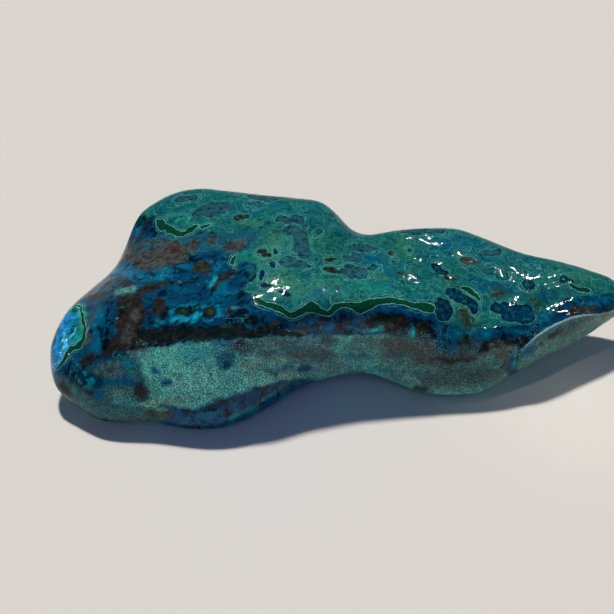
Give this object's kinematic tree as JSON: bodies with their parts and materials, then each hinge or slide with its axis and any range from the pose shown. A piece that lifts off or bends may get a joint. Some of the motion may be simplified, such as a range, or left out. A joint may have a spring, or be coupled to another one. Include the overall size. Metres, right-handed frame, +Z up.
{
  "type": "chrysocolla specimen",
  "caption": "Polished freeform display stone of chrysocolla with malachite: a long block with a blunt rounded end, a waist and a pointed tip, resting on a flattened underside.",
  "frame": {"origin": "middle of the bounding box, at the level the stone rests on", "axes": "+X along the stone from the blunt end to the pointed tip, -Y the show face with the pale speckled band, +Z up"},
  "size_m": [0.19, 0.0962, 0.0438],
  "materials": {
    "chrysocolla": "polished, glassy blue-green chrysocolla with banded malachite, dark brown matrix and a finely speckled pale turquoise face"
  },
  "bodies": {
    "root": {"stone": "chrysocolla"}
  },
  "joints": []
}
